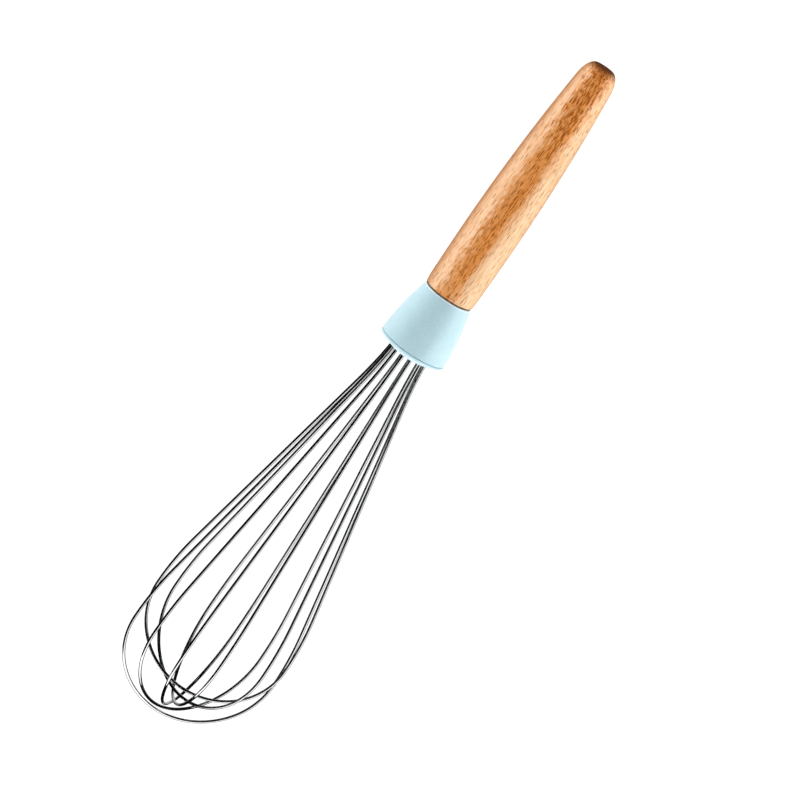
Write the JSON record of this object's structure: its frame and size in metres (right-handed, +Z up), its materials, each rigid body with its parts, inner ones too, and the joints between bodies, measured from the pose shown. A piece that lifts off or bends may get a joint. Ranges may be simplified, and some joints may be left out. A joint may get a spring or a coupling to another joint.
{
  "type": "balloon whisk",
  "caption": "Balloon whisk: nested steel wire loops in a flared silicone collar on a turned beech handle, lying on its side.",
  "frame": {"origin": "on the floor under the middle of the whisk as it lies on its side", "axes": "+X along the whisk from the handle to the wires, +Z up; the whisk's own axis rises about five degrees towards the wires"},
  "size_m": [0.3092, 0.0628, 0.0632],
  "materials": {
    "beech": "satin oiled",
    "silicone": "matte",
    "steel": "polished",
    "nylon": "matte",
    "epoxy": "glossy"
  },
  "bodies": {
    "root": {"handle": "beech", "epoxy_bond": "epoxy", "wire_hub": "nylon", "collar": "silicone", "wire_loop_1": "steel", "wire_loop_2": "steel", "wire_loop_3": "steel", "wire_loop_4": "steel", "wire_loop_5": "steel", "wire_loop_6": "steel"}
  },
  "joints": []
}
